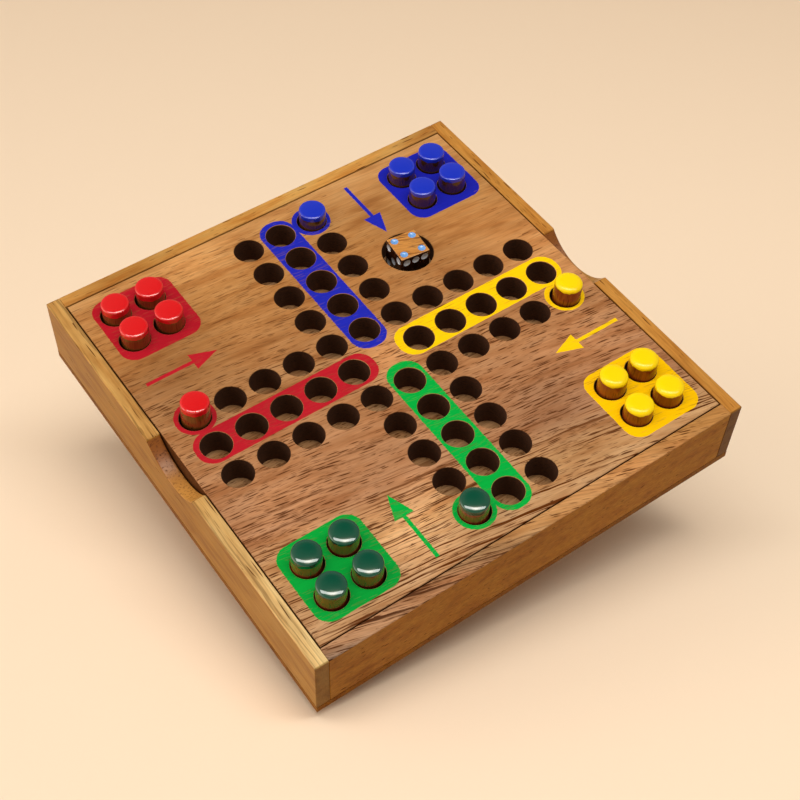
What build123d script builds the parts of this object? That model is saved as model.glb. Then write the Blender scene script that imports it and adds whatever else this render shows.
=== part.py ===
# Flat square ludo box: four walls glued on a base, a drilled board with its backing sheet that
# lifts out of them, twenty pegs and one die.
# Millimetres, +Z up, origin at the middle of the underside.
from build123d import *
import os

# Board and its grid of holes
pitch = 14.25
lane_holes = 5
board_margin = 13.05
board_thickness = 11.0
board_edge_chamfer = 0.4
backing_thickness = 4.0
hole_radius = 5.75

# Round recess for the die, its centre counted in steps of the grid
recess_column = 2.5
recess_row = 2.6
recess_radius = 9.95
recess_depth = 8.6

# Box around the board
wall_thickness = 5.2
wall_edge_chamfer = 0.3
board_gap = 0.5
base_thickness = 4.0
base_edge_chamfer = 1.0
store_height = 12.0
support_side = 14.0
notch_chord = 31.0
notch_depth = 7.8

# Pegs
peg_clearance = 0.45
peg_stand_out = 7.8

# Die
die_edge = 12.4
die_edge_chamfer = 0.6
die_turn = -6.3

# Sizes worked out from the ones above
board_side = 2 * (lane_holes * pitch + board_margin)
well_side = board_side + 2 * board_gap
box_side = well_side + 2 * wall_thickness
wall_height = store_height + backing_thickness + board_thickness
backing_bottom = base_thickness + store_height
board_bottom = backing_bottom + backing_thickness
board_top = board_bottom + board_thickness
peg_radius = hole_radius - peg_clearance
peg_length = board_thickness + peg_stand_out
home_steps = (lane_holes - 1, lane_holes)

# The board repeats its red quarter, turned clockwise about the middle for each next colour.
quarter_turns = {"red": 0, "blue": -90, "yellow": -180, "green": -270}

on_floor = (Align.CENTER, Align.CENTER, Align.MIN)


def turned_point(x, y, colour):
    """Turns a point of the red quarter to the quarter of this colour."""
    spot = Vector(x, y, 0).rotate(Axis.Z, quarter_turns[colour])
    return (round(spot.X, 6), round(spot.Y, 6))


def home_holes(colour):
    """Centres of the four holes in the corner field of this colour."""
    spots = [(-column * pitch, row * pitch) for column in home_steps for row in home_steps]
    return [turned_point(x, y, colour) for x, y in spots]


def arm_holes(colour):
    """Centres of the three rows of holes in the arm of this colour."""
    steps = range(1, lane_holes + 1)
    spots = [(-step * pitch, row * pitch) for step in steps for row in (-1, 0, 1)]
    return [turned_point(x, y, colour) for x, y in spots]


def start_hole(colour):
    """Centre of the hole where a peg of this colour enters the track."""
    return turned_point(-lane_holes * pitch, pitch, colour)


def all_holes():
    """Centres of every peg hole; arms that meet share the hole at their corner."""
    spots = set()
    for colour in quarter_turns:
        spots.update(home_holes(colour))
        spots.update(arm_holes(colour))
    return sorted(spots)


def make_base():
    """Base panel, its lower outer edges eased."""
    panel = Box(box_side, box_side, base_thickness, align=on_floor)
    lower_edges = panel.faces().sort_by(Axis.Z)[0].edges()
    return chamfer(lower_edges, base_edge_chamfer)


def make_side_wall(side):
    """Full-length wall at +X or -X, with the thumb notch in the middle of its top edge."""
    wall = Box(wall_thickness, box_side, wall_height, align=on_floor)
    top_edges = wall.faces().sort_by(Axis.Z)[-1].edges()
    wall = chamfer(top_edges, wall_edge_chamfer)
    notch_radius = (notch_chord**2 / 4 + notch_depth**2) / (2 * notch_depth)
    notch_centre = wall_height - notch_depth + notch_radius
    notch = Pos(0, 0, notch_centre) * Rot(0, 90, 0) * Cylinder(notch_radius, 2 * wall_thickness)
    middle = side * (well_side + wall_thickness) / 2
    return Pos(middle, 0, base_thickness) * (wall - notch)


def make_end_wall(side):
    """Wall at +Y or -Y, butted between the two side walls."""
    wall = Box(well_side, wall_thickness, wall_height, align=on_floor)
    top_face = wall.faces().sort_by(Axis.Z)[-1]
    wall = chamfer(top_face.edges().filter_by(Axis.X), wall_edge_chamfer)
    middle = side * (well_side + wall_thickness) / 2
    return Pos(0, middle, base_thickness) * wall


def make_support(side_x, side_y):
    """Block glued into a corner of the well, which holds the board flush with the walls."""
    block = Box(support_side, support_side, store_height, align=on_floor)
    middle = (well_side - support_side) / 2
    placed = Pos(side_x * middle, side_y * middle, base_thickness) * block
    inner_edge = placed.edges().filter_by(Axis.Z).sort_by_distance((0, 0, backing_bottom))[0]
    return chamfer(inner_edge, support_side / 4)


def make_backing():
    """Sheet glued under the drilled board, which closes its holes and gives them flat floors."""
    sheet = Box(board_side, board_side, backing_thickness, align=on_floor)
    return Pos(0, 0, backing_bottom) * sheet


def make_board():
    """Board drilled right through for the pegs, with the die recess and eased top edges."""
    board = Pos(0, 0, board_bottom) * Box(board_side, board_side, board_thickness, align=on_floor)
    top_edges = board.faces().sort_by(Axis.Z)[-1].edges()
    board = chamfer(top_edges, board_edge_chamfer)
    drill = Cylinder(hole_radius, 3 * board_thickness)
    cutters = [Pos(x, y, board_bottom) * drill for x, y in all_holes()]
    recess_floor = board_top - recess_depth
    recess = Cylinder(recess_radius, recess_depth, align=on_floor)
    cutters.append(Pos(recess_column * pitch, recess_row * pitch, recess_floor) * recess)
    return board - cutters


def make_die():
    """Die with eased edges, standing on the floor of its recess."""
    die = Box(die_edge, die_edge, die_edge, align=on_floor)
    die = chamfer(die.edges(), die_edge_chamfer)
    recess_floor = board_top - recess_depth
    place = Pos(recess_column * pitch, recess_row * pitch, recess_floor)
    return place * Rot(0, 0, die_turn) * die


def make_pegs():
    """Twenty pegs: four at home and one on the start hole in each colour."""
    peg = Cylinder(peg_radius, peg_length, align=on_floor)
    pegs = {}
    for colour in quarter_turns:
        spots = home_holes(colour) + [start_hole(colour)]
        for number, (x, y) in enumerate(spots, start=1):
            pegs[f"peg_{colour}_{number}"] = Pos(x, y, board_bottom) * peg
    return pegs


nodes = {
    "base_panel": make_base(),
    "left_wall": make_side_wall(-1),
    "right_wall": make_side_wall(1),
    "front_wall": make_end_wall(-1),
    "back_wall": make_end_wall(1),
    "support_front_left": make_support(-1, -1),
    "support_front_right": make_support(1, -1),
    "support_back_left": make_support(-1, 1),
    "support_back_right": make_support(1, 1),
    "board_backing": make_backing(),
    "board": make_board(),
    "die": make_die(),
}
nodes.update(make_pegs())

os.makedirs("parts", exist_ok=True)
for name, shape in nodes.items():
    export_step(shape, f"parts/{name}.step")
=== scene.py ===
import math

import bmesh
import bpy
from mathutils import Euler, Matrix, Vector


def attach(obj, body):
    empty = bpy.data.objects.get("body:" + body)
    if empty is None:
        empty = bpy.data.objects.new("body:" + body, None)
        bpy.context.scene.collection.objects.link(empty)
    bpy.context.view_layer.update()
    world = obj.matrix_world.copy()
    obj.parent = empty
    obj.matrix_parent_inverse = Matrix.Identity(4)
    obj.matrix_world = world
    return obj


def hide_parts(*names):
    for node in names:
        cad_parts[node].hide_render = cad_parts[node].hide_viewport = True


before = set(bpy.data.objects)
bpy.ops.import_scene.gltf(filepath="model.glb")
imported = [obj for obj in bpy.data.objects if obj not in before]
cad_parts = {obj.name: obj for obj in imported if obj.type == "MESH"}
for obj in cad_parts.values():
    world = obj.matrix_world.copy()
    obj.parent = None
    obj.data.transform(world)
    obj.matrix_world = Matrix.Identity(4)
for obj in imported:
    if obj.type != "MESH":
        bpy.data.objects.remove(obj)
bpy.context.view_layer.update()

mm = 0.001
# sizes of the real pieces in millimetres; the box stands on z = 0 with its middle over the origin
box = {"side": 180.0, "top": 31.0, "base": 4.0, "wall": 5.2}
board = {
    "side": 168.6, "bottom": 20.0, "top": 31.0, "pitch": 14.25, "holeRadius": 5.75,
    "recessAt": (2.5, 2.6), "recessRadius": 9.95, "recessDepth": 8.6,
    "rimRound": 0.3, "edgeRound": 0.5, "holeSegments": 64,
}
pitch = board["pitch"]
colours = ("red", "blue", "yellow", "green")


def quarterTurn(x, y, colour):
    # the red quarter points to -X; each next colour is turned clockwise
    for _ in range(colours.index(colour)):
        x, y = y, -x
    return x, y


# a longish lens above the left front corner, turned a little on its axis; places in metres
camera = {
    "place": (-0.19431, -0.26550, 0.43285),
    "aim": (-0.00809, -0.01954, 0.0310),
    "rollDegrees": 2.285,
    "lens": 64.85,
    "sensor": 36.0,
}


def addCamera():
    data = bpy.data.cameras.new("camera")
    data.lens, data.sensor_width = camera["lens"], camera["sensor"]
    data.clip_start, data.clip_end = 0.01, 20.0
    made = bpy.data.objects.new("camera", data)
    bpy.context.scene.collection.objects.link(made)
    aim = Vector(camera["aim"]) - Vector(camera["place"])
    roll = Matrix.Rotation(math.radians(camera["rollDegrees"]), 3, "Z")
    turn = aim.to_track_quat("-Z", "Y").to_matrix() @ roll
    made.matrix_world = Matrix.Translation(camera["place"]) @ turn.to_4x4()
    bpy.context.scene.camera = made


addCamera()
print("camera placed")


def linearColour(hexText):
    # sRGB hex to the linear values that a shader wants
    values = [int(hexText[at:at + 2], 16) / 255 for at in (0, 2, 4)]
    return (*[v / 12.92 if v <= 0.04045 else ((v + 0.055) / 1.055) ** 2.4 for v in values], 1.0)


def feed(tree, node, inputs):
    # an input is a value, a socket, or a node whose first output is meant
    for key, value in inputs.items() if isinstance(inputs, dict) else enumerate(inputs):
        if isinstance(value, bpy.types.Node):
            value = value.outputs[0]
        if isinstance(value, bpy.types.NodeSocket):
            tree.links.new(value, node.inputs[key])
        else:
            node.inputs[key].default_value = value


def addNode(tree, kind, inputs=(), **settings):
    # one shader node with its settings and what feeds it
    made = tree.nodes.new("ShaderNode" + kind)
    for name, value in settings.items():
        setattr(made, name, value)
    feed(tree, made, inputs)
    return made


def setStops(ramp, stops):
    # stops of a colour ramp: (place, hex or grey value)
    elements = ramp.color_ramp.elements
    while len(elements) < len(stops):
        elements.new(0.5)
    for element, (place, shade) in zip(elements, stops):
        element.position = place
        element.color = linearColour(shade) if isinstance(shade, str) else (shade, shade, shade, 1.0)
    return ramp


def newMaterial(name):
    material = bpy.data.materials.new(name)
    material.use_nodes = True
    tree = material.node_tree
    tree.nodes.clear()
    shader = addNode(tree, "BsdfPrincipled")
    addNode(tree, "OutputMaterial", {"Surface": shader})
    return material, tree, shader


def softPatch(tree, place, x, y, radius, most=1.0):
    # a soft round patch near the top of the box: place and radius in mm, and its value in the middle
    middle = (x * mm, y * mm, 30 * mm)
    away = addNode(tree, "VectorMath", (place, middle), operation="DISTANCE").outputs["Value"]
    fade = {"Value": away, "From Min": radius * mm, "From Max": 0.0, "To Max": most}
    return addNode(tree, "MapRange", fade, interpolation_type="SMOOTHSTEP")


def openVessels(tree, bent, share, sizes):
    # vessels that the saw cut open: long thin ellipsoids, of which some cells of the pattern have one.
    # Real ones are 0.2 mm wide, too fine to show, so they are drawn two to four times as wide
    pore = 0.0
    for length, width, strength in sizes:
        cells = (1.0 / length, 1.0 / width, 1.0 / width)
        vessel = addNode(tree, "VectorMath", (bent, cells), operation="MULTIPLY")
        vessel = addNode(tree, "TexVoronoi", {"Vector": vessel, "Scale": 1.0})
        chance = addNode(tree, "SeparateXYZ", (vessel.outputs["Color"],))
        size = addNode(tree, "Math", (chance.outputs["Y"], 0.7, 0.6), operation="MULTIPLY_ADD")
        mark = addNode(tree, "Math", (vessel.outputs["Distance"], size), operation="DIVIDE")
        mark = {"Value": mark, "From Min": 0.36, "From Max": 0.22, "To Max": strength}
        mark = addNode(tree, "MapRange", mark)
        cut = addNode(tree, "Math", (share, chance.outputs["X"]), operation="GREATER_THAN")
        mark = addNode(tree, "Math", (mark, cut), operation="MULTIPLY")
        pore = addNode(tree, "Math", (mark, pore), operation="MAXIMUM")
    return pore


def stretchedNoise(tree, place, cells, detail, roughness=0.5):
    # noise drawn out along the grain: cells to the mm along it, across it and up
    place = addNode(tree, "VectorMath", (place, cells), operation="MULTIPLY")
    noise = {"Vector": place, "Scale": 1.0, "Detail": detail, "Roughness": roughness}
    return addNode(tree, "TexNoise", noise)


def pushedPlace(tree, place, cells, detail, swing, start):
    # a place that such noise pushes to and fro, by up to half the swing in mm
    push = stretchedNoise(tree, place, cells, detail).outputs["Color"]
    push = addNode(tree, "VectorMath", (push, (0.5, 0.5, 0.5)), operation="SUBTRACT")
    return addNode(tree, "VectorMath", (push, swing, start), operation="MULTIPLY_ADD")


def woodGrain(tree, wood):
    # grain runs along X of the turned coordinates, which are in millimetres from here on
    place = addNode(tree, "TexCoord").outputs["Object"]
    turn = [math.radians(a) for a in wood["turn"]]
    lie = {"Vector": place, "Location": wood["shift"], "Rotation": turn, "Scale": (1000, 1000, 1000)}
    grain = addNode(tree, "Mapping", lie)
    # the saw crossed the grain at a slant that changes over the width of the plank
    parts = addNode(tree, "SeparateXYZ", (grain,))
    slant, change = wood["slant"]
    slant = addNode(tree, "Math", (parts.outputs["Y"], change, slant), operation="MULTIPLY_ADD")
    slant = addNode(tree, "Math", (parts.outputs["X"], slant), operation="MULTIPLY")
    slant = addNode(tree, "CombineXYZ", (0.0, slant, 0.0))
    # slow bends of the trunk, 110 by 45 mm
    swing = (0.0, wood["bend"], wood["bend"])
    bend = pushedPlace(tree, grain, (0.009, 0.022, 0.022), 2.0, swing, slant)
    bend = addNode(tree, "VectorMath", (bend, grain), operation="ADD")
    # small wriggles of the fibres, 17 by 4 mm
    bent = pushedPlace(tree, grain, (0.06, 0.25, 0.25), 1.0, (0.0, 1.3, 1.3), bend)
    # bundles of fibres, 14 by 0.7 mm, as single fibres are too fine to show
    fibre = stretchedNoise(tree, bent, (0.07, 1.5, 1.5), 3.0, 0.62)
    # crowds of vessels, 45 by 10 mm
    crowd = stretchedNoise(tree, bent, (0.022, 0.10, 0.10), 2.0)
    # growth lines, 45 mm long and about 1 mm apart, which lie nearly flat in the plank
    line = stretchedNoise(tree, bent, (0.022, wood["lineScale"], 0.4 * wood["lineScale"]), 1.0, 0.6)
    lineLevel = wood["lineLevel"]
    line = addNode(tree, "MapRange", {"Value": line, "From Min": lineLevel, "From Max": lineLevel - 0.08})
    # how the plank changes across its width: colour, dark lines and pores
    across = addNode(tree, "SeparateXYZ", (bend,)).outputs["Y"]
    first, last = wood["across"]
    across = addNode(tree, "MapRange", {"Value": across, "From Min": first, "From Max": last})
    ramps = [addNode(tree, "ValToRGB", (across,)) for _ in range(3)]
    for column, ramp in enumerate(ramps, start=1):
        setStops(ramp, [(band[0], band[column]) for band in wood["bands"]])
    tone, lineAmount, poreAmount = ramps
    share = {"Value": crowd, "From Min": 0.35, "From Max": 0.65, "To Min": 0.3, "To Max": 1.7}
    share = addNode(tree, "MapRange", share)
    for x, y, radius, more in wood["poreClouds"]:
        patch = softPatch(tree, place, x, y, radius, more)
        poreAmount = addNode(tree, "Math", (poreAmount, patch), operation="ADD")
    share = addNode(tree, "Math", (share, poreAmount), operation="MULTIPLY")
    # the sides of a wall are cut along the growth rings and show little of this, up to just under its top
    level = addNode(tree, "SeparateXYZ", (place,)).outputs["Z"]
    levelFrom, levelTo = ((box["top"] - below) * mm for below in (0.6, 0.3))
    level = {"Value": level, "From Min": levelFrom, "From Max": levelTo, "To Min": wood["sideShare"]}
    level = addNode(tree, "MapRange", level)
    share = addNode(tree, "Math", (share, level), operation="MULTIPLY")
    lineAmount = addNode(tree, "Math", (lineAmount, level), operation="MULTIPLY")
    pore = openVessels(tree, bent, share, wood["pores"])
    streak = addNode(tree, "Math", (line, lineAmount), operation="MULTIPLY")
    streaks = wood["fibre"]
    light = {"Value": fibre, "From Min": 0.3, "From Max": 0.7, "To Min": 1 - streaks, "To Max": 1 + streaks}
    light = addNode(tree, "MapRange", light)
    # soft clouds, lighter or darker than the plank round them: place on the box, radius in mm, and how much
    # more red, green and blue they have
    for x, y, radius, tint in wood["clouds"]:
        cloud = softPatch(tree, place, x, y, radius)
        cloud = addNode(tree, "VectorMath", (cloud, tint, (1.0, 1.0, 1.0)), operation="MULTIPLY_ADD")
        tone = addNode(tree, "MixRGB", (1.0, tone, cloud), blend_type="MULTIPLY")
    if wood["sideColour"]:
        tone = addNode(tree, "MixRGB", (level, linearColour(wood["sideColour"]), tone))
    colour = addNode(tree, "MixRGB", (1.0, tone, light), blend_type="MULTIPLY")
    # end grain, which shows on the last 0.6 mm at the front and back, drinks the varnish and turns darker
    end = addNode(tree, "SeparateXYZ", (place,)).outputs["Y"]
    end = addNode(tree, "Math", (end,), operation="ABSOLUTE")
    endFrom, endTo = ((box["side"] / 2 - inside) * mm for inside in (0.6, 0.2))
    end = addNode(tree, "MapRange", {"Value": end, "From Min": endFrom, "From Max": endTo})
    colour = addNode(tree, "MixRGB", (end, colour, wood["endTint"]), blend_type="MULTIPLY")
    # broad figure of the plank, 22 by 4.5 mm
    figure = stretchedNoise(tree, bend, (0.045, 0.22, 0.22), 3.0, 0.55)
    figure = setStops(addNode(tree, "ValToRGB", (figure,)), wood["figure"])
    colour = addNode(tree, "MixRGB", (1.0, colour, figure), blend_type="MULTIPLY")
    colour = addNode(tree, "MixRGB", (streak, colour, linearColour(wood["lineColour"])))
    near, far = wood["poreDepth"]
    depth = {"Value": across, "From Min": 0.55, "From Max": 0.75, "To Min": near, "To Max": far}
    depth = addNode(tree, "MapRange", depth)
    dark = addNode(tree, "Math", (pore, depth), operation="MULTIPLY")
    colour = addNode(tree, "MixRGB", (dark, colour, linearColour(wood["poreColour"])))
    return {"colour": colour, "pore": pore, "fibre": fibre, "place": place}


def woodSurface(tree, shader, wood, grain, colour):
    # satin varnish over planed wood: pores stay open and duller than the film between them
    film, poreFloor = wood["roughness"], wood["roughness"] + 0.2
    rough = addNode(tree, "MapRange", {"Value": grain["pore"], "To Min": film, "To Max": poreFloor})
    relief = addNode(tree, "Math", (grain["pore"], -1.0, grain["fibre"]), operation="MULTIPLY_ADD")
    bump = addNode(tree, "Bump", {"Strength": 0.35, "Distance": 0.00008, "Height": relief})
    feed(tree, shader, {
        "Base Color": colour, "Roughness": rough, "Normal": bump, "Specular IOR Level": wood["sheen"]})


def woodMaterial(name, wood):
    material, tree, shader = newMaterial(name)
    grain = woodGrain(tree, wood)
    woodSurface(tree, shader, wood, grain, grain["colour"])
    return material


# a plank in millimetres. Bands run across it: place, colour, share of dark lines and share of open pores.
# Thin satin varnish gives a soft sheen that breaks up over the pores
def plank(**changes):
    values = {
        # lie of the grain in degrees and mm, its slant and how that changes over the width, and bends in mm
        "turn": (0, 0, 0), "shift": (0, 0, 0), "slant": (0.03, 0.0), "bend": 7.0, "across": (-85.0, 85.0),
        "lineScale": 1.0, "fibre": 0.16, "roughness": 0.38, "sheen": 0.05,
        # opened vessels: length and width in mm and strength of each size, and patches with more or fewer
        "pores": ((8.5, 0.75, 1.0), (4.5, 0.5, 0.6)), "poreDepth": (0.92, 0.92), "poreClouds": (),
        "lineLevel": 0.42, "lineColour": "5F300D", "poreColour": "51270A",
        "figure": ((0.32, "FFFFFF"), (0.5, "F6EEE4"), (0.68, "DCC8B4")),
        "bands": ((0.0, "AE7D48", 0.3, 0.5), (1.0, "AE7D48", 0.3, 0.5)), "clouds": (),
        # sides of a wall: how much of lines and pores they show, their colour, and the end grain's tint
        "sideShare": 1.0, "sideColour": None, "endTint": (1.0, 1.0, 1.0, 1.0),
    }
    values.update(changes)
    return values


woods = {
    "board": plank(
        slant=(0.115, -0.00056), poreDepth=(0.92, 0.55),
        poreClouds=((62, 62, 80, -0.7), (62, 8, 40, -0.5), (-50, 45, 50, 0.2)),
        bands=(
            (0.0, "C29C75", 1.0, 0.5), (0.10, "C79E71", 1.0, 0.5), (0.2, "B38664", 0.7, 0.7),
            (0.36, "B68660", 0.2, 0.95), (0.55, "B2855A", 0.12, 0.8), (0.72, "B5824F", 0.1, 0.65),
            (0.85, "BB8953", 0.06, 0.6), (1.0, "C89862", 0.05, 0.35)),
        clouds=(
            (-36, 80, 30, (0.22, 0.23, 0.25)), (-66, 38, 34, (-0.2, -0.2, -0.2)),
            (80, 4, 36, (0.4, 0.4, 0.38)), (68, 40, 22, (0.12, 0.12, 0.12)),
            (44, 54, 18, (-0.15, -0.15, -0.15)), (0, 0, 22, (0.5, 0.5, 0.5)),
            (-66, -40, 28, (0.2, 0.2, 0.2)), (-22, -56, 18, (0.25, 0.25, 0.25)),
            (34, -56, 34, (-0.18, -0.18, -0.15)), (-40, -68, 26, (0.4, 0.4, 0.42)),
            (-76, 34, 24, (-0.1, -0.12, -0.1)), (34, 66, 24, (-0.1, -0.12, -0.12)),
            (62, -34, 22, (0.12, 0.12, 0.12)))),
    "leftWall": plank(
        turn=(0, 0, -90), shift=(37, 0, 11), slant=(0.005, 0.0), bend=1.0, across=(-95.0, -80.0),
        pores=((16.0, 0.75, 1.0), (7.0, 0.5, 0.5)), lineLevel=0.46, lineColour="4A2A10",
        sideShare=0.15, sideColour="9F7024", endTint=(0.58, 0.54, 0.43, 1.0),
        bands=(
            (0.0, "C79D5D", 0.4, 0.3), (0.38, "C79D5D", 0.4, 0.3), (0.46, "C9A164", 1.0, 0.9),
            (0.6, "C9A164", 1.0, 0.9), (0.68, "C79D5D", 0.5, 0.3), (1.0, "C79D5D", 0.4, 0.2)),
        clouds=((-88, -86, 95, (0.36, 0.72, 1.5)),)),
    "rightWall": plank(
        turn=(0, 0, -90), shift=(-61, 0, 5), across=(80.0, 95.0),
        sideShare=0.1, sideColour="8B5A21", endTint=(0.5, 0.5, 0.48, 1.0),
        bands=((0.0, "C38D45", 0.1, 0.1), (1.0, "BF8540", 0.1, 0.1))),
    "frontWall": plank(
        shift=(13, 0, 17), slant=(0.3, 0.0), across=(-112.0, -62.0), fibre=0.24, sheen=0.03,
        lineLevel=0.47, lineScale=1.3, lineColour="4E2C18", sideShare=0.1, sideColour="9D6812",
        bands=(
            (0.0, "897567", 1.0, 0.9), (0.13, "BE9573", 1.0, 0.9), (0.31, "AA7C59", 0.9, 0.8),
            (0.44, "A88560", 0.7, 0.7), (0.56, "BE8F5D", 0.4, 0.6), (0.8, "CC9864", 0.2, 0.5),
            (1.0, "B5854E", 0.1, 0.3))),
    "backWall": plank(
        shift=(-29, 0, 23), across=(82.0, 92.0), sideShare=0.1,
        figure=((0.3, "FFFFFF"), (0.5, "FFF2E0"), (0.7, "EFCFAA")),
        bands=((0.0, "BE9153", 0.0, 0.1), (1.0, "C49A58", 0.0, 0.1)),
        clouds=(
            (-60, 87, 28, (-0.2, -0.25, -0.3)), (30, 87, 40, (0.15, 0.2, 0.25)),
            (86, 87, 26, (-0.22, -0.24, -0.22)))),
    # the base panel is drawn dark brown, which puts painted shade along the foot of the box
    "base": plank(
        turn=(0, 0, 90), shift=(5, 9, -31), sheen=0.03,
        bands=((0.0, "875508", 0.1, 0.3), (1.0, "825208", 0.1, 0.3))),
    "backing": plank(
        shift=(7, 3, 19), pores=((3.0, 0.75, 1.0),), poreDepth=(0.7, 0.7), roughness=0.7, fibre=0.3,
        bands=((0.0, "B58D65", 0.5, 0.7), (1.0, "B1875F", 0.5, 0.7))),
    "shadedBoardEdge": plank(
        shift=(41, 7, 0), roughness=0.6, bands=((0.0, "5E3B20", 0.5, 0.5), (1.0, "5E3B20", 0.5, 0.5))),
    "support": plank(
        turn=(0, 90, 0), roughness=0.6, bands=((0.0, "B5915E", 0.25, 0.1), (1.0, "B5915E", 0.25, 0.1))),
    "peg": plank(
        turn=(0, 90, 0), shift=(3, 50, 0), across=(-80.0, 80.0), roughness=0.22, sheen=0.15,
        bands=(
            (0.0, "805127", 0.35, 0.4), (0.35, "6E401E", 0.35, 0.4), (0.65, "7D4C21", 0.35, 0.4),
            (1.0, "683D1A", 0.35, 0.4))),
    "die": plank(
        turn=(0, 0, 20), across=(20.0, 60.0), roughness=0.2, sheen=0.4, lineColour="7D481C",
        bands=((0.0, "D59B56", 0.6, 0.4), (1.0, "CE914B", 0.6, 0.4)),
        clouds=((40, 36, 8, (-0.3, -0.3, -0.3)),)),
    # the die's sides: the same beech drawn near black, as painted shade
    "dieShadedSide": plank(
        turn=(0, 90, 20), across=(-20.0, 60.0), roughness=0.2, sheen=0.4, lineColour="150803",
        bands=((0.0, "351C0C", 0.6, 0.4), (1.0, "2E1608", 0.6, 0.4))),
}

# silk-screen print: satin enamel ink that leaves the pores visible; shifts of the screen in mm
ink = {
    "red": {
        "field": "B41A2A", "track": "B81E2C",
        "fieldShift": (1.3, -0.5), "trackShift": (0.0, 0.0), "arrowShift": (0.9, 1.2)},
    "blue": {
        "field": "1E24B4", "track": "222AB8",
        "fieldShift": (0.5, -0.6), "trackShift": (-0.3, 0.0), "arrowShift": (0.2, 0.0)},
    "yellow": {
        "field": "FFC902", "track": "FFD00A",
        "fieldShift": (0.7, -0.4), "trackShift": (0.0, 0.4), "arrowShift": (0.7, 1.1)},
    "green": {
        "field": "04A43C", "track": "04AE42",
        "fieldShift": (0.4, 0.5), "trackShift": (0.0, 0.0), "arrowShift": (0.0, 0.4)},
}
# shapes of the red quarter in steps of the hole grid: middle, half sizes; and corner radius in mm
fieldShape = ((-4.5, 4.5), (1.13, 1.13), 6.0)
trackShapes = (
    ((-2.965, 0.0), (2.585, 0.50), 6.4),  # lane
    ((-5.0, 1.0), (0.53, 0.53), 0.53 * pitch),  # disc round the start hole
    ((-4.85, 2.45), (0.70, 0.053), 0.2),  # shaft of the arrow
)
arrowHead = {"tip": (-3.52, 2.45), "length": 0.71, "width": 0.53}


def printGroup():
    # distance inside the printed shapes of one quarter, in mm; outside it is below nought
    group = bpy.data.node_groups.new("quarterPrint", "ShaderNodeTree")
    group.interface.new_socket("place", in_out="INPUT", socket_type="NodeSocketVector")
    for name in ("fieldShift", "arrowShift"):
        group.interface.new_socket(name, in_out="INPUT", socket_type="NodeSocketVector")
    for name in ("field", "track"):
        group.interface.new_socket(name, in_out="OUTPUT", socket_type="NodeSocketFloat")
    start, end = group.nodes.new("NodeGroupInput"), group.nodes.new("NodeGroupOutput")
    flat = addNode(group, "VectorMath", (start.outputs["place"], (1.0, 1.0, 0.0)), operation="MULTIPLY")
    fieldPlace = addNode(group, "VectorMath", (flat, start.outputs["fieldShift"]), operation="SUBTRACT")
    arrowPlace = addNode(group, "VectorMath", (flat, start.outputs["arrowShift"]), operation="SUBTRACT")
    inside = []
    places = (fieldPlace, flat, flat, arrowPlace)
    for place, (middle, half, radius) in zip(places, (fieldShape, *trackShapes)):
        middle, half = [v * pitch for v in middle], [v * pitch for v in half]
        away = addNode(group, "VectorMath", (place, (*middle, 0.0)), operation="SUBTRACT")
        away = addNode(group, "VectorMath", (away,), operation="ABSOLUTE")
        straight = (half[0] - radius, half[1] - radius, 0.0)
        away = addNode(group, "VectorMath", (away, straight), operation="SUBTRACT")
        away = addNode(group, "VectorMath", (away, (0.0, 0.0, 0.0)), operation="MAXIMUM")
        away = addNode(group, "VectorMath", (away,), operation="LENGTH").outputs["Value"]
        inside.append(addNode(group, "Math", (radius, away), operation="SUBTRACT"))
    tip = [v * pitch for v in arrowHead["tip"]]
    fromTip = addNode(group, "VectorMath", (arrowPlace, (*tip, 0.0)), operation="SUBTRACT")
    fromTip = addNode(group, "SeparateXYZ", (fromTip,))
    aside = addNode(group, "Math", (fromTip.outputs["Y"],), operation="ABSOLUTE")
    slope = 0.5 * arrowHead["width"] / arrowHead["length"]
    sides = addNode(group, "Math", (fromTip.outputs["X"], -slope), operation="MULTIPLY")
    sides = addNode(group, "Math", (sides, aside), operation="SUBTRACT")
    back = addNode(group, "Math", (fromTip.outputs["X"], arrowHead["length"] * pitch), operation="ADD")
    inside.append(addNode(group, "Math", (sides, back), operation="MINIMUM"))
    track = inside[1]
    for shape in inside[2:]:
        track = addNode(group, "Math", (track, shape), operation="MAXIMUM")
    feed(group, end, {"field": inside[0], "track": track})
    return group


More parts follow.
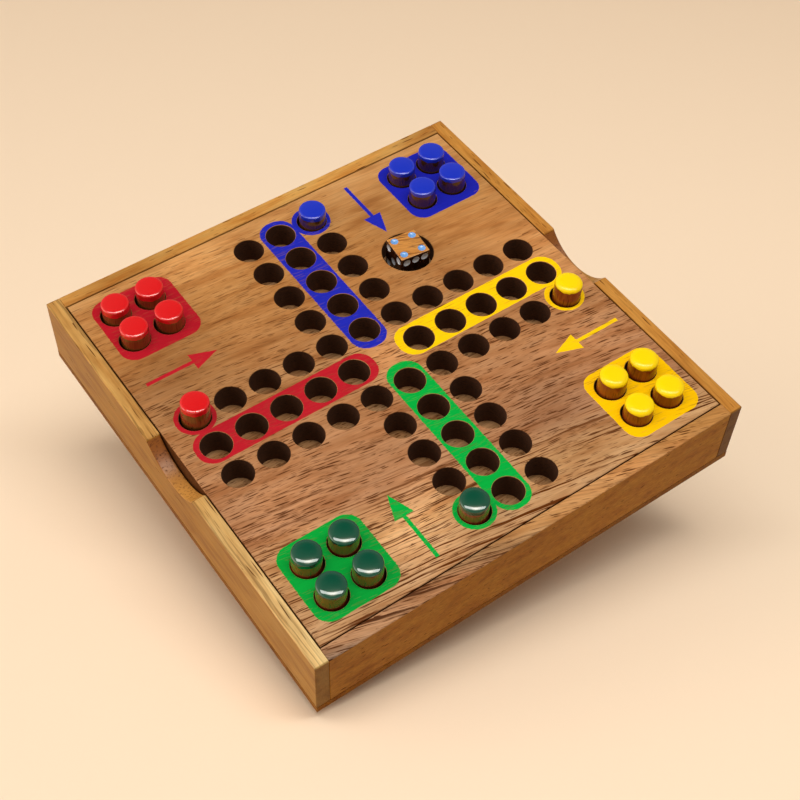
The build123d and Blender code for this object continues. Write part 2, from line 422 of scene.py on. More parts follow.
def printedBoardMaterial():
    # even satin colour over the wood, whose fibres and open pores still show through it
    wood = woods["board"]
    material, tree, shader = newMaterial("acacia, varnished and screen printed")
    grain = woodGrain(tree, wood)
    place = addNode(tree, "VectorMath", (grain["place"], (1000.0, 1000.0, 1000.0)), operation="MULTIPLY")
    # ink creeps along the fibres, in steps of 2 by 0.6 mm, so the edges are not quite straight
    crept = pushedPlace(tree, place, (0.5, 1.6, 0.0), 2.0, (0.7, 0.35, 0.0), place)
    # small spots, 1.1 by 0.4 mm, are worn; ink lies only on the top face
    worn = stretchedNoise(tree, place, (0.9, 2.6, 2.6), 3.0, 0.7)
    worn = setStops(addNode(tree, "ValToRGB", (worn,)), ((0.72, 1.0), (0.81, 0.35)))
    cover = addNode(tree, "Math", (grain["pore"], -0.28, 1.0), operation="MULTIPLY_ADD")
    cover = addNode(tree, "Math", (cover, worn), operation="MULTIPLY")
    height = addNode(tree, "SeparateXYZ", (place,)).outputs["Z"]
    onTop = addNode(tree, "Math", (height, board["top"] - 0.06), operation="GREATER_THAN")
    cover = addNode(tree, "Math", (cover, onTop), operation="MULTIPLY")
    shade = {"Value": grain["fibre"], "From Min": 0.3, "From Max": 0.7, "To Min": 0.92, "To Max": 1.05}
    shade = addNode(tree, "MapRange", shade)
    group = printGroup()
    painted = grain["colour"]
    for number, colour in enumerate(colours):
        # the screen of each shape lay a little askew; the shifts turn with the quarter
        angle = math.radians(90 * number)
        turn = Matrix.Rotation(angle, 2)
        trackShift, fieldShift, arrowShift = [
            turn @ Vector(ink[colour][name]) for name in ("trackShift", "fieldShift", "arrowShift")]
        turned = addNode(tree, "VectorRotate", {"Vector": crept, "Angle": angle}, rotation_type="Z_AXIS")
        turned = addNode(tree, "VectorMath", (turned, (*trackShift, 0.0)), operation="SUBTRACT")
        fieldShift, arrowShift = ((*(shift - trackShift), 0.0) for shift in (fieldShift, arrowShift))
        shapes = {"place": turned, "fieldShift": fieldShift, "arrowShift": arrowShift}
        shapes = addNode(tree, "Group", shapes, node_tree=group)
        for part in ("field", "track"):
            amount = (shapes.outputs[part], 6.0, 0.5)
            amount = addNode(tree, "Math", amount, operation="MULTIPLY_ADD", use_clamp=True)
            amount = addNode(tree, "Math", (amount, cover), operation="MULTIPLY")
            hue = linearColour(ink[colour][part])
            inked = addNode(tree, "MixRGB", (1.0, hue, shade), blend_type="MULTIPLY")
            painted = addNode(tree, "MixRGB", (amount, painted, inked))
    woodSurface(tree, shader, wood, grain, painted)
    return material


def cutMarks(tree):
    # marks that a turning tool leaves, 1.1 mm along the cut and 0.45 mm across
    place = addNode(tree, "TexCoord").outputs["Object"]
    marks = addNode(tree, "Mapping", {"Vector": place, "Scale": (900, 900, 2200)})
    marks = addNode(tree, "TexNoise", {"Vector": marks, "Scale": 1.0, "Detail": 4.0, "Roughness": 0.7})
    return place, marks


def drilledMaterial(name, hexColour, darkHex):
    # wood torn by the drill: dull, with short streaks round the wall, in the two colours given for each use
    material, tree, shader = newMaterial(name)
    torn = cutMarks(tree)[1]
    tone = setStops(addNode(tree, "ValToRGB", (torn,)), ((0.3, darkHex), (0.7, hexColour)))
    bump = addNode(tree, "Bump", {"Strength": 0.5, "Distance": 0.0001, "Height": torn})
    feed(tree, shader, {"Base Color": tone, "Roughness": 0.75, "Normal": bump})
    return material


def notchMaterial():
    # end grain polished by the cutter: golden and glossy between dull dark pores, with painted shade
    # towards the back
    material, tree, shader = newMaterial("acacia, end grain of the thumb notch, cut and varnished")
    place, pores = cutMarks(tree)
    tone = setStops(addNode(tree, "ValToRGB", (pores,)), ((0.31, "5C3010"), (0.47, "C08840")))
    # painted shade: the end grain turns browner towards the back end of the notch, which faces away from
    # the light
    along = addNode(tree, "SeparateXYZ", (place,)).outputs["Y"]
    along = {"Value": along, "From Min": -8 * mm, "From Max": 12 * mm}
    along = addNode(tree, "MapRange", along, interpolation_type="SMOOTHSTEP")
    tone = addNode(tree, "MixRGB", (along, tone, (0.5, 0.33, 0.2, 1.0)), blend_type="MULTIPLY")
    rough = {"Value": pores, "From Min": 0.34, "From Max": 0.44, "To Min": 0.9, "To Max": 0.36}
    rough = addNode(tree, "MapRange", rough)
    bump = addNode(tree, "Bump", {"Strength": 0.2, "Distance": 0.0001, "Height": pores})
    feed(tree, shader, {"Base Color": tone, "Roughness": rough, "Normal": bump, "Specular IOR Level": 0.42})
    return material


# enamel tips: radii of dome, shoulder and rim in mm and how steep the shoulder starts, then the gloss, and
# the tint of the dowel's wood under each colour: how much redder, greener and bluer it is drawn
tips = {
    "red": {
        "hex": "DE161C", "dome": 110.0, "shoulder": 1.9, "shoulderDegrees": 28.0, "rim": 0.5,
        "roughness": 0.08, "coat": 1.0, "coatIor": 1.7, "woodTint": (1.28, 1.4, 1.0, 1.0)},
    "blue": {
        "hex": "1A34CA", "dome": 70.0, "shoulder": 2.0, "shoulderDegrees": 26.0, "rim": 0.5,
        "roughness": 0.10, "coat": 0.9, "coatIor": 1.7, "woodTint": (0.62, 0.68, 0.4, 1.0)},
    "yellow": {
        "hex": "FFDC00", "dome": 80.0, "shoulder": 3.4, "shoulderDegrees": 35.0, "rim": 1.0,
        "roughness": 0.22, "coat": 0.4, "coatIor": 1.5, "woodTint": (1.7, 1.2, 0.7, 1.0)},
    "green": {
        "hex": "024E3A", "dome": 30.0, "shoulder": 6.0, "shoulderDegrees": 24.0, "rim": 0.7,
        "roughness": 0.05, "coat": 1.0, "coatIor": 1.75, "woodTint": (1.5, 0.68, 0.5, 1.0)},
}


def pegMaterial(colour):
    # a wet, glassy cap with a ragged lower edge, over a dowel with a satin sheen
    wood, tip = woods["peg"], tips[colour]
    material, tree, shader = newMaterial("beech dowel dipped in " + colour + " enamel")
    grain = woodGrain(tree, wood)
    below = addNode(tree, "Attribute", {}, attribute_name="belowTip").outputs["Fac"]
    # the edge of the enamel runs in waves 2.4 mm wide and 6 mm high
    ragged = addNode(tree, "Mapping", {"Vector": grain["place"], "Scale": (420, 420, 160)})
    ragged = addNode(tree, "TexNoise", {"Vector": ragged, "Scale": 1.0, "Detail": 2.0})
    edge = addNode(tree, "Math", (ragged, 1.4, -0.7), operation="MULTIPLY_ADD")
    mask = addNode(tree, "Math", (edge, below), operation="SUBTRACT")
    mask = addNode(tree, "Math", (mask, 8.0, 0.5), operation="MULTIPLY_ADD", use_clamp=True)
    dowelTone = addNode(tree, "MixRGB", (1.0, grain["colour"], tip["woodTint"]), blend_type="MULTIPLY")
    # painted shade: the dowel darkens towards the board and down into its hole
    foot = {"Value": below, "From Min": 4.8, "From Max": 6.6, "To Min": 1.0, "To Max": 0.5}
    foot = addNode(tree, "MapRange", foot)
    dowelTone = addNode(tree, "MixRGB", (1.0, dowelTone, foot), blend_type="MULTIPLY")
    colourNode = addNode(tree, "MixRGB", (mask, dowelTone, linearColour(tip["hex"])))
    rough = {"Value": mask, "To Min": wood["roughness"], "To Max": tip["roughness"]}
    rough = addNode(tree, "MapRange", rough)
    relief = addNode(tree, "Math", (mask, 3.0, grain["fibre"]), operation="MULTIPLY_ADD")
    bump = addNode(tree, "Bump", {"Strength": 0.3, "Distance": 0.00006, "Height": relief})
    feed(tree, shader, {
        "Base Color": colourNode, "Roughness": rough, "Normal": bump, "Specular IOR Level": wood["sheen"],
        "Coat Weight": tip["coat"], "Coat IOR": tip["coatIor"], "Coat Roughness": tip["roughness"]})
    return material


# planed walls shine softly where the light grazes them
planed = {
    "leftWall": "left wall", "rightWall": "right wall", "frontWall": "front wall", "backWall": "back wall",
    "base": "base panel",
}
materials = {}
for name, use in planed.items():
    materials[name] = woodMaterial("acacia, planed and varnished, " + use, woods[name])
# raw wood: dull, with raised fibres
materials["backing"] = woodMaterial("acacia, sanded, left raw", woods["backing"])
materials["support"] = woodMaterial("pine, sawn", woods["support"])
materials["notch"] = notchMaterial()
materials["board"] = printedBoardMaterial()
# the sawn edge in the gap: dull, and drawn dark brown as painted shade in the gap
materials["shadedBoardEdge"] = woodMaterial("acacia, sawn edge of the board", woods["shadedBoardEdge"])
# the walls of the holes and of the die's recess are drawn dark brown to near black: painted shade inside
# them
materials["shadedHoleWall"] = drilledMaterial("acacia, drilled across the grain", "5A3116", "261207")
materials["holeFloor"] = drilledMaterial("acacia, floor left by the drill", "A8825C", "7A5634")
for colour in colours:
    materials[colour] = pegMaterial(colour)
print("materials made:", len(materials))


def placePiece(mesh, body, node, sharp=35.0):
    # smooth shading with crisp corners, on its body and in place of its solid
    mesh.shade_smooth()
    mesh.set_sharp_from_angle(angle=math.radians(sharp))
    made = bpy.data.objects.new(mesh.name, mesh)
    bpy.context.scene.collection.objects.link(made)
    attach(made, body)
    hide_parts(node)
    return made


def finishPiece(bm, name, fills, body, node, sharp=35.0):
    bmesh.ops.recalc_face_normals(bm, faces=bm.faces[:])
    mesh = bpy.data.meshes.new(name)
    bm.to_mesh(mesh)
    bm.free()
    for fill in fills:
        mesh.materials.append(fill)
    return placePiece(mesh, body, node, sharp)


def keepFlat(piece):
    # wide flat faces keep their normals beside the small rounds
    weighted = piece.modifiers.new("flatFaces", "WEIGHTED_NORMAL")
    weighted.keep_sharp = True
    weighted.weight = 90


# walls: planks with eased edges and a round thumb notch, in mm
walls = {
    "edgeRound": 0.35, "roundSteps": 3, "sharpDegrees": 30,
    "notchChord": 31.0, "notchDepth": 7.8, "notchSteps": 40,
}


def wallOutline(length, notched):
    # points along the wall and up it, with the thumb notch in the top edge
    low, high, half = box["base"], box["top"], length / 2
    points = [(-half, low), (half, low), (half, high)]
    if notched:
        chord, depth = walls["notchChord"], walls["notchDepth"]
        radius = (chord ** 2 / 4 + depth ** 2) / (2 * depth)
        spread = math.asin(chord / 2 / radius)
        for step in range(walls["notchSteps"] + 1):
            angle = spread * (1 - 2 * step / walls["notchSteps"])
            points.append((radius * math.sin(angle), high - depth + radius - radius * math.cos(angle)))
    points.append((-half, high))
    return points


def buildWall(name, side, alongY, node):
    # the side walls run the full length and have the notch, which has its own, glossier material
    inner, outer = box["side"] / 2 - box["wall"], box["side"] / 2
    length = box["side"] if alongY else 2 * inner
    outline = wallOutline(length, alongY)
    bm = bmesh.new()
    rings = []
    for distance in (inner, outer):
        across = side * distance
        points = [(across, s, z) if alongY else (s, across, z) for s, z in outline]
        rings.append([bm.verts.new(Vector(point) * mm) for point in points])
    count = len(rings[0])
    bm.faces.new(rings[0])
    bm.faces.new(rings[1][::-1])
    for k in range(count):
        bm.faces.new((rings[0][k], rings[0][(k + 1) % count], rings[1][(k + 1) % count], rings[1][k]))
    bmesh.ops.recalc_face_normals(bm, faces=bm.faces[:])
    edges = [e for e in bm.edges if e.calc_face_angle(0) > math.radians(walls["sharpDegrees"])]
    bmesh.ops.bevel(
        bm, geom=edges, offset=walls["edgeRound"] * mm, segments=walls["roundSteps"], affect="EDGES",
        profile=0.5, clamp_overlap=True)
    # the notch: faces between its ends, above the base and under the top, that look neither in nor out
    for face in bm.faces if alongY else ():
        middle = face.calc_center_median() / mm
        between = abs(middle.y) < walls["notchChord"] / 2 - 0.5
        under = box["base"] + 1 < middle.z < box["top"] - 0.2
        if between and under and abs(face.normal.x) < 0.9:
            face.material_index = 1
    keepFlat(finishPiece(bm, name, [materials[name], materials["notch"]], "box", node))


for name, side, alongY, node in (
        ("leftWall", -1, True, "left_wall"), ("rightWall", 1, True, "right_wall"),
        ("frontWall", -1, False, "front_wall"), ("backWall", 1, False, "back_wall")):
    buildWall(name, side, alongY, node)
solids = {"base_panel": "base", "board_backing": "backing"}
solids.update({node: "support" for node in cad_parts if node.startswith("support")})
for node, fill in solids.items():
    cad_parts[node].data.materials.clear()
    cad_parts[node].data.materials.append(materials[fill])
print("walls built, base and corner blocks dressed")


# the board is drilled cell by cell of its hole grid; a cell is named by its column and row
def holeCells():
    cells = set()
    for colour in colours:
        for step in range(1, 6):
            cells.update(quarterTurn(-step, row, colour) for row in (-1, 0, 1))
        cells.update(quarterTurn(-column, row, colour) for column in (4, 5) for row in (4, 5))
    return cells


def buildBoard():
    top, bottom, half = board["top"], board["bottom"], board["side"] / 2
    rim, edge, segments = board["rimRound"], board["edgeRound"], board["holeSegments"]
    arc = (0.0, 0.52, 1.05, math.pi / 2)  # an eased edge turns in steps of 30 degrees
    near = 1e-3  # points closer than this, in mm, are taken as one
    bm = bmesh.new()
    shared = {}

    def corner(x, y, z=top):
        key = (round(x, 4), round(y, 4), round(z, 4))
        if key not in shared:
            shared[key] = bm.verts.new(Vector((x, y, z)) * mm)
        return shared[key]

    def squarePoint(angle, reach):
        # where a ray from the middle of a square leaves it
        c, s = math.cos(angle), math.sin(angle)
        grow = reach / max(abs(c), abs(s))
        return c * grow, s * grow

    def sink(x, y, radius, low, around, border, under=None):
        # a drilled hole: flat cell, eased rim and wall, then its floor, or the cell on the underside
        rings = [border]
        steps = [(radius + rim * (1 - math.sin(a)), top - rim * (1 - math.cos(a))) for a in arc]
        for r, z in steps + [(radius, low)]:
            points = [Vector((x + r * math.cos(a), y + r * math.sin(a), z)) * mm for a in around]
            rings.append([bm.verts.new(point) for point in points])
        if under:
            rings.append(under)
        count = len(around)
        for number, (outer, inner) in enumerate(zip(rings, rings[1:])):
            for k in range(count):
                face = bm.faces.new((outer[k], outer[(k + 1) % count], inner[(k + 1) % count], inner[k]))
                face.material_index = 1 if number == len(steps) else 0
        if not under:
            bm.faces.new(rings[-1]).material_index = 2

    angles = [2 * math.pi * k / segments for k in range(segments)]
    drilled = holeCells()
    recessX, recessY = (v * pitch for v in board["recessAt"])
    recessCells = {(2, 2), (3, 2), (2, 3), (3, 3)}
    cellsMiddle = 2.5 * pitch
    for column in range(-5, 6):
        for row in range(-5, 6):
            x, y = column * pitch, row * pitch
            around = [squarePoint(a, pitch / 2) for a in angles]
            under = [corner(x + dx, y + dy, bottom) for dx, dy in around]
            if (column, row) in drilled:
                over = [corner(x + dx, y + dy) for dx, dy in around]
                sink(x, y, board["holeRadius"], bottom, angles, over, under)
                continue
            bm.faces.new(under)
            if (column, row) not in recessCells:
                bm.faces.new([corner(x + dx, y + dy) for dx, dy in around])
    # the die recess takes four cells; its border is what those cells would share with their neighbours
    border = []
    for (column, row) in recessCells:
        for dx, dy in (squarePoint(a, pitch / 2) for a in angles):
            px, py = column * pitch + dx, row * pitch + dy
            if max(abs(px - cellsMiddle), abs(py - cellsMiddle)) > pitch - near:
                border.append(corner(px, py))
    border = list(dict.fromkeys(border))

    def bearing(v):
        return math.atan2(v.co.y / mm - recessY, v.co.x / mm - recessX)

    border.sort(key=bearing)
    around = [bearing(v) for v in border]
    sink(recessX, recessY, board["recessRadius"], top - board["recessDepth"], around, border)
    # plain margin above and below, then the eased outer edge and the sides
    reach = 5.5 * pitch
    for level, flat in ((top, half - edge), (bottom, half)):
        outermost = [
            v for v in bm.verts
            if max(abs(v.co.x), abs(v.co.y)) > (reach - near) * mm and abs(v.co.z / mm - level) < near]
        for axis in (0, 1):
            for sign in (-1, 1):
                line = [v for v in outermost if v.co[axis] * sign > (reach - near) * mm]
                line.sort(key=lambda v: v.co[1 - axis])
                ends = [(sign * flat, flat * s) if axis == 0 else (flat * s, sign * flat) for s in (1, -1)]
                bm.faces.new(line + [corner(*end, level) for end in ends])
    square = [(-1, -1), (1, -1), (1, 1), (-1, 1)]
    levels = [(half - edge * (1 - math.sin(a)), top - edge * (1 - math.cos(a))) for a in arc]
    levels += [(half, bottom)]
    rings = [[corner(sx * r, sy * r, z) for sx, sy in square] for r, z in levels]
    for outer, lower in zip(rings, rings[1:]):
        for k in range(4):
            face = bm.faces.new((outer[k], outer[(k + 1) % 4], lower[(k + 1) % 4], lower[k]))
            face.material_index = 3 if lower is rings[-1] else 0
    fills = [materials[name] for name in ("board", "shadedHoleWall", "holeFloor", "shadedBoardEdge")]
    keepFlat(finishPiece(bm, "drilledBoard", fills, "board", "board"))


buildBoard()
print("board drilled")


# pegs: turned dowels with a little taper under the tip, in mm
pegs = {
    "radius": 5.3, "tipRadius": 5.15, "foot": 20.0, "inBoard": 11.0, "segments": 56, "rightDegrees": -37.0,
    # for the four home pegs and then the start peg: how far it stands out, how far it sits to the right and
    # to the back in its hole, how many degrees it leans right and back, and how deep its tip was dipped
    "set": {
        "red": (
            (7.3, 0.4, 0.0, -0.2, 0.0, 2.3), (6.6, 0.3, 0.0, -0.8, 0.0, 2.8),
            (7.4, 0.4, 0.0, -0.2, 0.0, 2.1), (6.5, 0.4, 0.0, -0.3, 0.0, 2.8),
            (8.3, 0.25, 0.33, 1.2, 3.6, 2.5)),
        "blue": (
            (7.4, -0.1, 0.0, -1.6, 0.0, 1.9), (7.6, 0.0, 0.0, -1.2, 0.5, 1.9),
            (7.0, 0.0, 0.0, -0.6, 0.0, 2.0), (7.2, 0.0, 0.0, 0.3, 0.5, 1.9),
            (6.5, 0.3, 0.0, 0.2, 0.0, 2.1)),
        "yellow": (
            (7.8, 0.3, 0.0, 1.0, 0.0, 1.7), (6.8, 0.3, 0.0, -0.3, 0.0, 1.6),
            (7.4, 0.4, 0.0, -0.2, 0.0, 1.8), (6.9, 0.1, 0.0, -1.0, 0.0, 1.6),
            (8.4, 0.42, 0.0, 1.8, 0.0, 1.7)),
        "green": (
            (7.3, -0.1, 0.0, 0.6, 0.0, 1.6), (7.6, -0.25, 0.0, 0.8, 0.0, 2.7),
            (7.5, -0.3, 0.0, 0.5, 0.0, 1.5), (7.7, -0.2, 0.0, 0.9, 0.0, 1.7),
            (7.2, -0.3, 0.0, -0.7, 0.0, 2.6)),
    },
}


def pegProfile(tip, length):
    # radius and height from the foot up to the middle of the tip: a rim, a shoulder and a shallow dome
    radius, rim, shoulder, dome = pegs["tipRadius"], tip["rim"], tip["shoulder"], tip["dome"]
    tilt = math.radians(tip["shoulderDegrees"])
    shoulderAt = radius - rim + (rim - shoulder) * math.sin(tilt)
    domeTilt = math.asin(shoulderAt / (dome - shoulder))
    shoulderHeight = length - dome + (dome - shoulder) * math.cos(domeTilt)
    rimHeight = shoulderHeight + (shoulder - rim) * math.cos(tilt)
    arcs = (
        (radius - rim, rimHeight, rim, math.pi / 2, tilt, 6),
        (shoulderAt, shoulderHeight, shoulder, tilt, domeTilt, 6),
        (0.0, length - dome, dome, domeTilt, 0.0, 4))
    wide = pegs["radius"]
    # eased foot, straight dowel, and the taper that ends under the rim
    points = [
        (0.0, 0.0), (wide - 0.5, 0.0), (wide - 0.12, 0.15), (wide, 0.6), (wide, pegs["inBoard"]),
        (radius + 0.03, rimHeight - 1.2)]
    for at, height, size, first, last, steps in arcs:
        for step in range(steps if size < dome else steps + 1):
            angle = first + (last - first) * step / steps
            points.append((max(at + size * math.sin(angle), 0.0), height + size * math.cos(angle)))
    points[-1] = (0.0, points[-1][1])
    return points


def buildPeg(name, colour, node, x, y, setting):
    standOut, right, back, leanRight, leanBack, dip = setting
    length = pegs["inBoard"] + standOut
    profile = pegProfile(tips[colour], length)
    bm = bmesh.new()
    depth = bm.verts.layers.float.new("belowTip")
    count = pegs["segments"]
    rings = []
    for r, z in profile:
        ring = []
        for k in range(count if r > 0 else 1):
            a = 2 * math.pi * k / count
            vert = bm.verts.new((r * math.cos(a), r * math.sin(a), z - pegs["inBoard"]))
            vert[depth] = length - z - dip
            ring.append(vert)
        rings.append(ring)
    for lower, upper in zip(rings, rings[1:]):
        for k in range(count):
            quad = [lower[k % len(lower)], lower[(k + 1) % len(lower)]]
            quad += [upper[(k + 1) % len(upper)], upper[k % len(upper)]]
            bm.faces.new(list(dict.fromkeys(quad)))
    # the lean turns about the mouth of the hole
    view = Matrix.Rotation(math.radians(pegs["rightDegrees"]), 4, "Z")
    mouth = Vector((x, y, pegs["foot"] + pegs["inBoard"])) + view.to_3x3() @ Vector((right, back, 0.0))
    lean = Euler((-math.radians(leanBack), math.radians(leanRight), 0.0)).to_matrix().to_4x4()
    lean = view @ lean @ view.inverted()
    place = Matrix.Translation(mouth * mm) @ lean @ Matrix.Diagonal((mm, mm, mm, 1))
    bmesh.ops.transform(bm, matrix=place, verts=bm.verts[:])
    finishPiece(bm, name, [materials[colour]], node, node, sharp=50.0)


for colour in colours:
    spots = [quarterTurn(-column, row, colour) for column in (4, 5) for row in (4, 5)]
    spots.append(quarterTurn(-5, 1, colour))
    for number, (column, row) in enumerate(spots, start=1):
        buildPeg(
            colour + "Peg" + str(number), colour, "peg_" + colour + "_" + str(number),
            column * pitch, row * pitch, pegs["set"][colour][number - 1])
print("pegs turned: 20")


# die: small cube with tumbled edges and dimples filled with enamel, in mm
die = {
    "edge": 12.4, "round": 0.5, "turnDegrees": -6.3, "pipRadius": 1.5, "pipSphere": 2.4, "pipSpacing": 3.8,
    # the pips on the sides are painted pale silver: a glint of light on the blue enamel
    "pipHex": "6FA8EC", "sidePipGlintHex": "C4CCD8",
}
pipPlaces = {
    1: [(0, 0)],
    2: [(-1, -1), (1, 1)],
    3: [(-1, -1), (0, 0), (1, 1)],
    4: [(-1, -1), (1, 1), (-1, 1), (1, -1)],
    5: [(-1, -1), (1, 1), (-1, 1), (1, -1), (0, 0)],
    6: [(-1, -1), (1, 1), (-1, 1), (1, -1), (-1, 0), (1, 0)],
}
# outward direction, the two directions across the face, and its number
dieFaces = [
    ((0, 0, 1), (1, 0, 0), (0, 1, 0), 4), ((0, 0, -1), (1, 0, 0), (0, 1, 0), 3),
    ((1, 0, 0), (0, 1, 0), (0, 0, 1), 2), ((-1, 0, 0), (0, 1, 0), (0, 0, 1), 5),
    ((0, 1, 0), (1, 0, 0), (0, 0, 1), 1), ((0, -1, 0), (0, 0, 1), (1, 0, 0), 6),
]


def enamelMaterial(name, hexColour):
    # thick enamel drop: even colour, wet gloss, faint orange peel 0.7 mm across
    material, tree, shader = newMaterial(name)
    place = addNode(tree, "TexCoord").outputs["Object"]
    peel = addNode(tree, "TexNoise", {"Vector": place, "Scale": 1500.0, "Detail": 2.0})
    tone = addNode(tree, "MapRange", {"Value": peel, "To Min": 0.92, "To Max": 1.06})
    mixed = addNode(tree, "MixRGB", (1.0, linearColour(hexColour), tone), blend_type="MULTIPLY")
    bump = addNode(tree, "Bump", {"Strength": 0.1, "Distance": 0.00005, "Height": peel})
    feed(tree, shader, {
        "Base Color": mixed, "Normal": bump, "Roughness": 0.12, "Coat Weight": 0.5, "Coat Roughness": 0.05})
    return material


def buildDie():
    half = die["edge"] / 2
    bm = bmesh.new()
    bmesh.ops.create_cube(bm, size=die["edge"])
    bmesh.ops.bevel(bm, geom=bm.edges[:], offset=die["round"], segments=4, affect="EDGES", profile=0.5)
    recessX, recessY = (v * pitch for v in board["recessAt"])
    middle = Vector((recessX, recessY, board["top"] - board["recessDepth"] + half))
    turn = Matrix.Rotation(math.radians(die["turnDegrees"]), 4, "Z")
    place = Matrix.Translation(middle * mm) @ turn @ Matrix.Diagonal((mm, mm, mm, 1))
    cutter = bmesh.new()
    lift = math.sqrt(die["pipSphere"] ** 2 - die["pipRadius"] ** 2)
    for out, across, along, number in dieFaces:
        for a, b in pipPlaces[number]:
            at = Vector(out) * (half + lift) + (Vector(across) * a + Vector(along) * b) * die["pipSpacing"]
            ball = Matrix.Translation(at) @ Vector(out).to_track_quat("Z", "Y").to_matrix().to_4x4()
            bmesh.ops.create_uvsphere(
                cutter, u_segments=24, v_segments=24, radius=die["pipSphere"], matrix=ball)
    bmesh.ops.transform(bm, matrix=place, verts=bm.verts[:])
    bmesh.ops.transform(cutter, matrix=place, verts=cutter.verts[:])
    # the sides are drawn dark as painted shade, only the top shows the clear wood; their pips are painted
    # pale silver as a glint of light on the enamel
    for face in bm.faces:
        face.material_index = 0 if face.normal.z > 0.6 else 1
    for face in cutter.faces:
        onTop = face.calc_center_median().z > middle.z * mm + 0.45 * die["edge"] * mm
        face.material_index = 0 if onTop else 1
    # tumbled and waxed wood: close grain under a soft polish
    fills = (
        woodMaterial("beech, tumbled and waxed", woods["die"]),
        woodMaterial("beech, waxed, painted dark on the sides as shade", woods["dieShadedSide"]))
    drops = (
        enamelMaterial("blue enamel drops in the die", die["pipHex"]),
        enamelMaterial("enamel drops in the die's sides, painted silver as a glint", die["sidePipGlintHex"]))
    meshes = []
    for source, pair in ((bm, fills), (cutter, drops)):
        mesh = bpy.data.meshes.new("dieShape")
        source.to_mesh(mesh)
        source.free()
        for fill in pair:
            mesh.materials.append(fill)
        meshes.append(mesh)
    body, balls = (bpy.data.objects.new("dieShape", mesh) for mesh in meshes)
    for shape in (body, balls):
        bpy.context.scene.collection.objects.link(shape)
    cut = body.modifiers.new("dimples", "BOOLEAN")
    cut.operation, cut.solver, cut.material_mode = "DIFFERENCE", "EXACT", "TRANSFER"
    cut.object = balls
    bpy.context.view_layer.update()
    cutMesh = bpy.data.meshes.new_from_object(body.evaluated_get(bpy.context.evaluated_depsgraph_get()))
    cutMesh.name = "tumbledDie"
    bpy.data.objects.remove(body)
    bpy.data.objects.remove(balls)
    keepFlat(placePiece(cutMesh, "die", "die"))


buildDie()
print("die made")


# the box leans back: its front corner is just over the floor and its middle on a low prop, so the paper
# falls away behind and levels out in front; metres here. A bright strip lamp hangs overhead
studio = {
    "floorHex": "FEEAD2", "floorFall": (0.38, 0.02), "floorDrop": 0.003, "floorBack": (-1.5, 2.0),
    "floorHalf": 2.0, "levelFrom": 0.07, "levelOver": 0.10, "levelSteps": 8,
    "corner": (-0.0892, -0.0892), "rightDegrees": -37.0, "propHalf": (0.030, 0.030), "propGap": 0.0001,
    "roomHex": "F5E4D0", "roomStrength": 0.312, "roomLeast": 0.03,
    # glows of the room: how far right, back and up they lie, strength and narrowness; the last is a dark
    # curtain
    "glows": (
        ((0.07, 0.05, 1.0), 6.3, 60.0), ((-2.8, -0.40, 1.0), 3.05, 9.0), ((0.0, 0.80, 1.0), -0.25, 24.0)),
    # place to the right, to the back and up, size, strength and colour
    "strip": {"place": (0.09, 0.015, 1.5), "size": (1.94, 0.38), "watts": 15.8, "hex": "F4F4F0"},
}


def floorHeight(right, back):
    # from the level of the box's underside, at a place to the right and to the back of its front corner
    fallBack, fallRight = studio["floorFall"]
    start, over = -studio["levelFrom"], studio["levelOver"]
    bend = min(max(start - back, 0.0), over)
    gone = max(start - over - back, 0.0)
    height = -studio["floorDrop"] - fallBack * back - fallRight * right
    # past the start of the bend the slope fades away
    return height - fallBack * (bend ** 2 / (2 * over) + gone)


def stageMesh(name, points, faces, material):
    mesh = bpy.data.meshes.new(name)
    mesh.from_pydata(points, [], faces)
    mesh.materials.append(material)
    made = bpy.data.objects.new(name, mesh)
    bpy.context.scene.collection.objects.link(made)


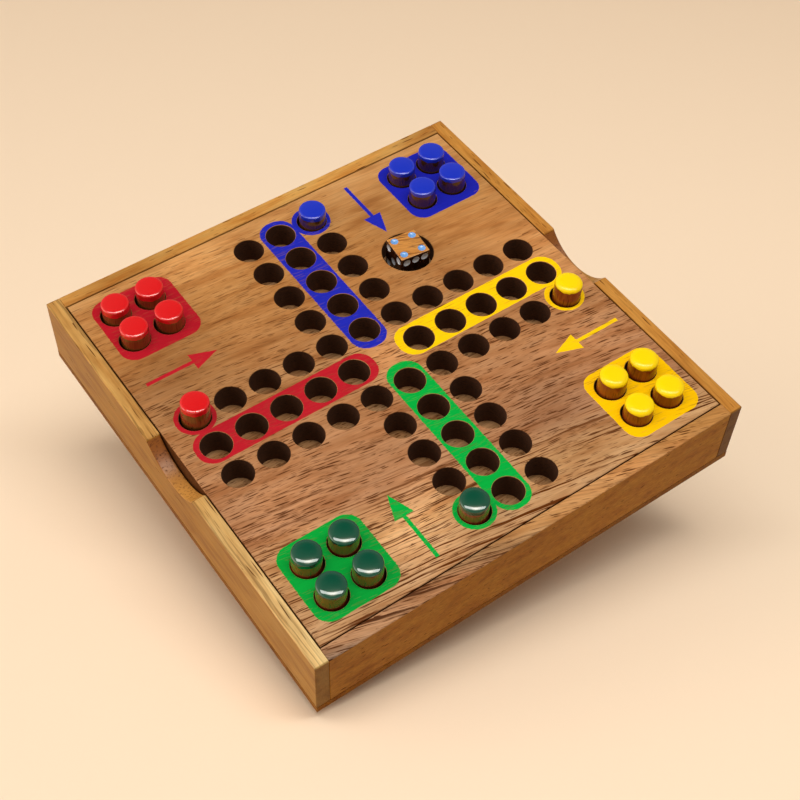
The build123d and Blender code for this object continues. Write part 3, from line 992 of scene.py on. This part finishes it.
def buildFloor():
    # matt paper, faintly uneven; its fibres are drawn 1.1 mm long, as real ones are too fine to show
    material, tree, shader = newMaterial("paper, matt, uncoated backdrop")
    place = addNode(tree, "TexCoord").outputs["Object"]
    fibre = addNode(tree, "TexNoise", {"Vector": place, "Scale": 900.0, "Detail": 2.0})
    tone = addNode(tree, "MapRange", {"Value": fibre, "To Min": 0.985, "To Max": 1.0})
    tone = addNode(tree, "MixRGB", (1.0, linearColour(studio["floorHex"]), tone), blend_type="MULTIPLY")
    feed(tree, shader, {"Base Color": tone, "Roughness": 0.9, "Specular IOR Level": 0.1})
    view = Matrix.Rotation(math.radians(studio["rightDegrees"]), 2)
    corner = Vector(studio["corner"])
    near, far = studio["floorBack"]
    start, over, half = -studio["levelFrom"], studio["levelOver"], studio["floorHalf"]
    steps = studio["levelSteps"]
    lines = [near] + [start - over + over * step / steps for step in range(steps + 1)] + [far]
    points = []
    for back in lines:
        for right in (-half, half):
            spot = corner + view @ Vector((right, back))
            points.append((*spot, floorHeight(right, back)))
    faces = [(2 * k, 2 * k + 1, 2 * k + 3, 2 * k + 2) for k in range(len(lines) - 1)]
    stageMesh("floor", points, faces, material)
    halfX, halfY = studio["propHalf"]
    low = []
    for x, y in [(-halfX, -halfY), (halfX, -halfY), (halfX, halfY), (-halfX, halfY)]:
        right, back = view.transposed() @ (Vector((x, y)) - corner)
        low.append((x, y, floorHeight(right, back)))
    high = [(x, y, -studio["propGap"]) for x, y, _ in low]
    sides = [(k, (k + 1) % 4, (k + 1) % 4 + 4, k + 4) for k in range(4)]
    stageMesh("prop", low + high, [(3, 2, 1, 0), (4, 5, 6, 7)] + sides, material)


def addLight():
    world = bpy.data.worlds.new("studio")
    bpy.context.scene.world = world
    world.use_nodes = True
    tree = world.node_tree
    view = Matrix.Rotation(math.radians(studio["rightDegrees"]), 3, "Z")
    # the room glows round a few directions and dims away from them
    towards = addNode(tree, "TexCoord").outputs["Generated"]
    total = studio["roomStrength"]
    for direction, strength, narrow in studio["glows"]:
        direction = view @ Vector(direction).normalized()
        glow = addNode(tree, "VectorMath", (towards, direction), operation="DOT_PRODUCT").outputs["Value"]
        glow = addNode(tree, "Math", (glow, 0.0), operation="MAXIMUM")
        glow = addNode(tree, "Math", (glow, narrow), operation="POWER")
        total = addNode(tree, "Math", (glow, strength, total), operation="MULTIPLY_ADD")
    total = addNode(tree, "Math", (total, studio["roomLeast"]), operation="MAXIMUM")
    feed(tree, tree.nodes["Background"], {"Color": linearColour(studio["roomHex"]), "Strength": total})
    strip = studio["strip"]
    data = bpy.data.lights.new("strip", "AREA")
    data.shape, data.energy = "RECTANGLE", strip["watts"]
    data.size, data.size_y = strip["size"]
    data.color = linearColour(strip["hex"])[:3]
    made = bpy.data.objects.new("strip", data)
    bpy.context.scene.collection.objects.link(made)
    place = view @ Vector(strip["place"])
    away = place.normalized()
    side = view @ Vector((1, 0, 0))
    side = (side - away * side.dot(away)).normalized()
    turn = Matrix((side, away.cross(side), away)).transposed()
    made.matrix_world = Matrix.Translation(place) @ turn.to_4x4()


buildFloor()
addLight()
bpy.context.scene.view_settings.view_transform = "Standard"
print("floor and light set")

bpy.context.view_layer.update()
